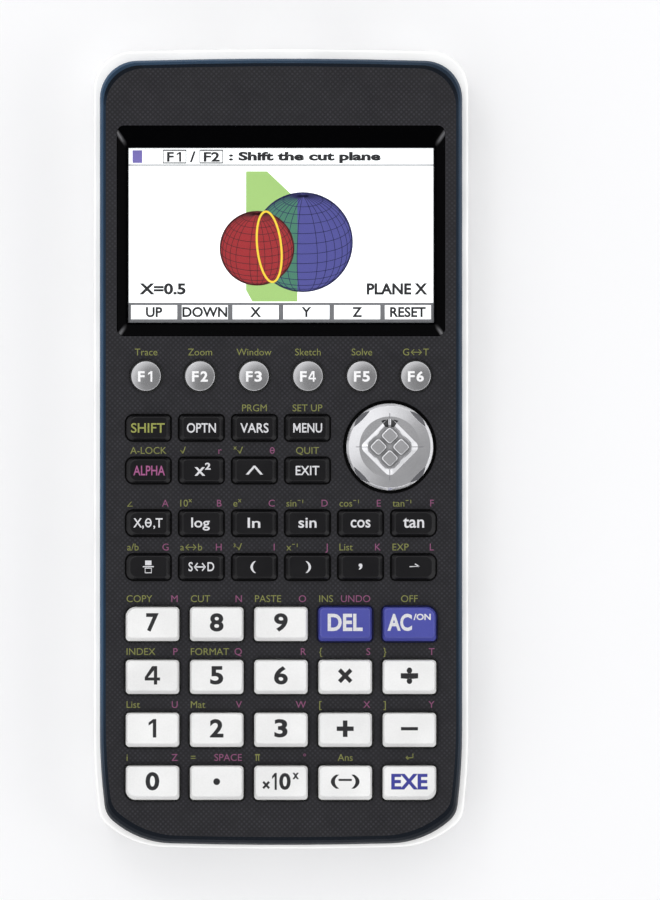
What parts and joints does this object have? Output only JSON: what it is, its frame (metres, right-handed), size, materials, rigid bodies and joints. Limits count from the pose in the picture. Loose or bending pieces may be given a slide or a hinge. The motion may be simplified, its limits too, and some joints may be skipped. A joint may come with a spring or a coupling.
{
  "type": "graphing calculator",
  "caption": "Handheld graphing calculator with a colour display window, a rocking cursor disc and a full keypad, white shell and dark face.",
  "frame": {"origin": "centre of the underside, on the plane that the rubber feet rest on", "axes": "+X right across the keypad, +Y toward the display end, +Z out of the keypad"},
  "size_m": [0.089, 0.19, 0.0186],
  "materials": {
    "shell_white": "fine satin moulding texture",
    "face_dark": "fine textured charcoal face, with a satin blue sloped edge",
    "window": "polished, black border round a clear window",
    "display": "smooth display glass in a steel frame",
    "key_silver": "satin metallic paint on plastic",
    "key_black": "semi-gloss moulded",
    "key_white": "satin moulded",
    "key_blue": "satin moulded",
    "dome_rubber": "translucent grey silicone",
    "foot_rubber": "matte",
    "board_green": "solder-masked laminate",
    "cell_jacket": "printed film jacket over steel",
    "spring_metal": "nickel-plated spring steel",
    "screw_steel": "zinc-plated",
    "reset_plastic": "matte grey",
    "pivot_plastic": "self-lubricating natural plastic"
  },
  "bodies": {
    "calculator": {"rear_cover": "shell_white", "front_case": "face_dark", "display_window": "window", "lcd_module": "display", "battery_cells": "cell_jacket", "battery_contacts": "spring_metal", "case_screws": "screw_steel", "main_board": "board_green", "key_dome_sheet": "dome_rubber", "rubber_feet": "foot_rubber"},
    "battery_cover": {"battery_cover": "shell_white"},
    "cursor_pivot": {"cursor_pivot": "pivot_plastic"},
    "cursor_disc": {"cursor_disc": "key_silver"},
    "reset_button": {"reset_button": "reset_plastic"},
    "key_f1": {"key_f1": "key_silver"},
    "key_f2": {"key_f2": "key_silver"},
    "key_f3": {"key_f3": "key_silver"},
    "key_f4": {"key_f4": "key_silver"},
    "key_f5": {"key_f5": "key_silver"},
    "key_f6": {"key_f6": "key_silver"},
    "key_shift": {"key_shift": "key_black"},
    "key_options": {"key_options": "key_black"},
    "key_variables": {"key_variables": "key_black"},
    "key_menu": {"key_menu": "key_black"},
    "key_alpha": {"key_alpha": "key_black"},
    "key_square": {"key_square": "key_black"},
    "key_power": {"key_power": "key_black"},
    "key_exit": {"key_exit": "key_black"},
    "key_variable": {"key_variable": "key_black"},
    "key_log": {"key_log": "key_black"},
    "key_ln": {"key_ln": "key_black"},
    "key_sin": {"key_sin": "key_black"},
    "key_cos": {"key_cos": "key_black"},
    "key_tan": {"key_tan": "key_black"},
    "key_fraction": {"key_fraction": "key_black"},
    "key_convert": {"key_convert": "key_black"},
    "key_open_bracket": {"key_open_bracket": "key_black"},
    "key_close_bracket": {"key_close_bracket": "key_black"},
    "key_comma": {"key_comma": "key_black"},
    "key_store": {"key_store": "key_black"},
    "key_7": {"key_7": "key_white"},
    "key_8": {"key_8": "key_white"},
    "key_9": {"key_9": "key_white"},
    "key_delete": {"key_delete": "key_blue"},
    "key_all_clear": {"key_all_clear": "key_blue"},
    "key_4": {"key_4": "key_white"},
    "key_5": {"key_5": "key_white"},
    "key_6": {"key_6": "key_white"},
    "key_multiply": {"key_multiply": "key_white"},
    "key_divide": {"key_divide": "key_white"},
    "key_1": {"key_1": "key_white"},
    "key_2": {"key_2": "key_white"},
    "key_3": {"key_3": "key_white"},
    "key_plus": {"key_plus": "key_white"},
    "key_minus": {"key_minus": "key_white"},
    "key_0": {"key_0": "key_white"},
    "key_point": {"key_point": "key_white"},
    "key_exponent": {"key_exponent": "key_white"},
    "key_negative": {"key_negative": "key_white"},
    "key_execute": {"key_execute": "key_white"}
  },
  "joints": [
    {"name": "battery_cover_hinge", "type": "hinge", "parent": "calculator", "child": "battery_cover", "pos_m": [0, 0.02305, 0.00105], "axis": [-1, 0, 0], "range_deg": [0, 60]},
    {"name": "cursor_tilt_x", "type": "hinge", "parent": "calculator", "child": "cursor_pivot", "pos_m": [0.0258, 0.0005, 0.0146], "axis": [1, 0, 0], "range_deg": [-3, 3], "deforming": ["key_dome_sheet"]},
    {"name": "cursor_tilt_y", "type": "hinge", "parent": "cursor_pivot", "child": "cursor_disc", "pos_m": [0.0258, 0.0005, 0.0146], "axis": [0, 1, 0], "range_deg": [-3, 3], "deforming": ["key_dome_sheet"]},
    {"name": "reset_press", "type": "slide", "parent": "calculator", "child": "reset_button", "axis": [0, 0, 1], "range_m": [0, 0.0005]},
    {"name": "f1_press", "type": "slide", "parent": "calculator", "child": "key_f1", "axis": [0, 0, -1], "range_m": [0, 0.0012], "deforming": ["key_dome_sheet"]},
    {"name": "f2_press", "type": "slide", "parent": "calculator", "child": "key_f2", "axis": [0, 0, -1], "range_m": [0, 0.0012], "deforming": ["key_dome_sheet"]},
    {"name": "f3_press", "type": "slide", "parent": "calculator", "child": "key_f3", "axis": [0, 0, -1], "range_m": [0, 0.0012], "deforming": ["key_dome_sheet"]},
    {"name": "f4_press", "type": "slide", "parent": "calculator", "child": "key_f4", "axis": [0, 0, -1], "range_m": [0, 0.0012], "deforming": ["key_dome_sheet"]},
    {"name": "f5_press", "type": "slide", "parent": "calculator", "child": "key_f5", "axis": [0, 0, -1], "range_m": [0, 0.0012], "deforming": ["key_dome_sheet"]},
    {"name": "f6_press", "type": "slide", "parent": "calculator", "child": "key_f6", "axis": [0, 0, -1], "range_m": [0, 0.0012], "deforming": ["key_dome_sheet"]},
    {"name": "shift_press", "type": "slide", "parent": "calculator", "child": "key_shift", "axis": [0, 0, -1], "range_m": [0, 0.0012], "deforming": ["key_dome_sheet"]},
    {"name": "options_press", "type": "slide", "parent": "calculator", "child": "key_options", "axis": [0, 0, -1], "range_m": [0, 0.0012], "deforming": ["key_dome_sheet"]},
    {"name": "variables_press", "type": "slide", "parent": "calculator", "child": "key_variables", "axis": [0, 0, -1], "range_m": [0, 0.0012], "deforming": ["key_dome_sheet"]},
    {"name": "menu_press", "type": "slide", "parent": "calculator", "child": "key_menu", "axis": [0, 0, -1], "range_m": [0, 0.0012], "deforming": ["key_dome_sheet"]},
    {"name": "alpha_press", "type": "slide", "parent": "calculator", "child": "key_alpha", "axis": [0, 0, -1], "range_m": [0, 0.0012], "deforming": ["key_dome_sheet"]},
    {"name": "square_press", "type": "slide", "parent": "calculator", "child": "key_square", "axis": [0, 0, -1], "range_m": [0, 0.0012], "deforming": ["key_dome_sheet"]},
    {"name": "power_press", "type": "slide", "parent": "calculator", "child": "key_power", "axis": [0, 0, -1], "range_m": [0, 0.0012], "deforming": ["key_dome_sheet"]},
    {"name": "exit_press", "type": "slide", "parent": "calculator", "child": "key_exit", "axis": [0, 0, -1], "range_m": [0, 0.0012], "deforming": ["key_dome_sheet"]},
    {"name": "variable_press", "type": "slide", "parent": "calculator", "child": "key_variable", "axis": [0, 0, -1], "range_m": [0, 0.0012], "deforming": ["key_dome_sheet"]},
    {"name": "log_press", "type": "slide", "parent": "calculator", "child": "key_log", "axis": [0, 0, -1], "range_m": [0, 0.0012], "deforming": ["key_dome_sheet"]},
    {"name": "ln_press", "type": "slide", "parent": "calculator", "child": "key_ln", "axis": [0, 0, -1], "range_m": [0, 0.0012], "deforming": ["key_dome_sheet"]},
    {"name": "sin_press", "type": "slide", "parent": "calculator", "child": "key_sin", "axis": [0, 0, -1], "range_m": [0, 0.0012], "deforming": ["key_dome_sheet"]},
    {"name": "cos_press", "type": "slide", "parent": "calculator", "child": "key_cos", "axis": [0, 0, -1], "range_m": [0, 0.0012], "deforming": ["key_dome_sheet"]},
    {"name": "tan_press", "type": "slide", "parent": "calculator", "child": "key_tan", "axis": [0, 0, -1], "range_m": [0, 0.0012], "deforming": ["key_dome_sheet"]},
    {"name": "fraction_press", "type": "slide", "parent": "calculator", "child": "key_fraction", "axis": [0, 0, -1], "range_m": [0, 0.0012], "deforming": ["key_dome_sheet"]},
    {"name": "convert_press", "type": "slide", "parent": "calculator", "child": "key_convert", "axis": [0, 0, -1], "range_m": [0, 0.0012], "deforming": ["key_dome_sheet"]},
    {"name": "open_bracket_press", "type": "slide", "parent": "calculator", "child": "key_open_bracket", "axis": [0, 0, -1], "range_m": [0, 0.0012], "deforming": ["key_dome_sheet"]},
    {"name": "close_bracket_press", "type": "slide", "parent": "calculator", "child": "key_close_bracket", "axis": [0, 0, -1], "range_m": [0, 0.0012], "deforming": ["key_dome_sheet"]},
    {"name": "comma_press", "type": "slide", "parent": "calculator", "child": "key_comma", "axis": [0, 0, -1], "range_m": [0, 0.0012], "deforming": ["key_dome_sheet"]},
    {"name": "store_press", "type": "slide", "parent": "calculator", "child": "key_store", "axis": [0, 0, -1], "range_m": [0, 0.0012], "deforming": ["key_dome_sheet"]},
    {"name": "7_press", "type": "slide", "parent": "calculator", "child": "key_7", "axis": [0, 0, -1], "range_m": [0, 0.0012], "deforming": ["key_dome_sheet"]},
    {"name": "8_press", "type": "slide", "parent": "calculator", "child": "key_8", "axis": [0, 0, -1], "range_m": [0, 0.0012], "deforming": ["key_dome_sheet"]},
    {"name": "9_press", "type": "slide", "parent": "calculator", "child": "key_9", "axis": [0, 0, -1], "range_m": [0, 0.0012], "deforming": ["key_dome_sheet"]},
    {"name": "delete_press", "type": "slide", "parent": "calculator", "child": "key_delete", "axis": [0, 0, -1], "range_m": [0, 0.0012], "deforming": ["key_dome_sheet"]},
    {"name": "all_clear_press", "type": "slide", "parent": "calculator", "child": "key_all_clear", "axis": [0, 0, -1], "range_m": [0, 0.0012], "deforming": ["key_dome_sheet"]},
    {"name": "4_press", "type": "slide", "parent": "calculator", "child": "key_4", "axis": [0, 0, -1], "range_m": [0, 0.0012], "deforming": ["key_dome_sheet"]},
    {"name": "5_press", "type": "slide", "parent": "calculator", "child": "key_5", "axis": [0, 0, -1], "range_m": [0, 0.0012], "deforming": ["key_dome_sheet"]},
    {"name": "6_press", "type": "slide", "parent": "calculator", "child": "key_6", "axis": [0, 0, -1], "range_m": [0, 0.0012], "deforming": ["key_dome_sheet"]},
    {"name": "multiply_press", "type": "slide", "parent": "calculator", "child": "key_multiply", "axis": [0, 0, -1], "range_m": [0, 0.0012], "deforming": ["key_dome_sheet"]},
    {"name": "divide_press", "type": "slide", "parent": "calculator", "child": "key_divide", "axis": [0, 0, -1], "range_m": [0, 0.0012], "deforming": ["key_dome_sheet"]},
    {"name": "1_press", "type": "slide", "parent": "calculator", "child": "key_1", "axis": [0, 0, -1], "range_m": [0, 0.0012], "deforming": ["key_dome_sheet"]},
    {"name": "2_press", "type": "slide", "parent": "calculator", "child": "key_2", "axis": [0, 0, -1], "range_m": [0, 0.0012], "deforming": ["key_dome_sheet"]},
    {"name": "3_press", "type": "slide", "parent": "calculator", "child": "key_3", "axis": [0, 0, -1], "range_m": [0, 0.0012], "deforming": ["key_dome_sheet"]},
    {"name": "plus_press", "type": "slide", "parent": "calculator", "child": "key_plus", "axis": [0, 0, -1], "range_m": [0, 0.0012], "deforming": ["key_dome_sheet"]},
    {"name": "minus_press", "type": "slide", "parent": "calculator", "child": "key_minus", "axis": [0, 0, -1], "range_m": [0, 0.0012], "deforming": ["key_dome_sheet"]},
    {"name": "0_press", "type": "slide", "parent": "calculator", "child": "key_0", "axis": [0, 0, -1], "range_m": [0, 0.0012], "deforming": ["key_dome_sheet"]},
    {"name": "point_press", "type": "slide", "parent": "calculator", "child": "key_point", "axis": [0, 0, -1], "range_m": [0, 0.0012], "deforming": ["key_dome_sheet"]},
    {"name": "exponent_press", "type": "slide", "parent": "calculator", "child": "key_exponent", "axis": [0, 0, -1], "range_m": [0, 0.0012], "deforming": ["key_dome_sheet"]},
    {"name": "negative_press", "type": "slide", "parent": "calculator", "child": "key_negative", "axis": [0, 0, -1], "range_m": [0, 0.0012], "deforming": ["key_dome_sheet"]},
    {"name": "execute_press", "type": "slide", "parent": "calculator", "child": "key_execute", "axis": [0, 0, -1], "range_m": [0, 0.0012], "deforming": ["key_dome_sheet"]}
  ]
}
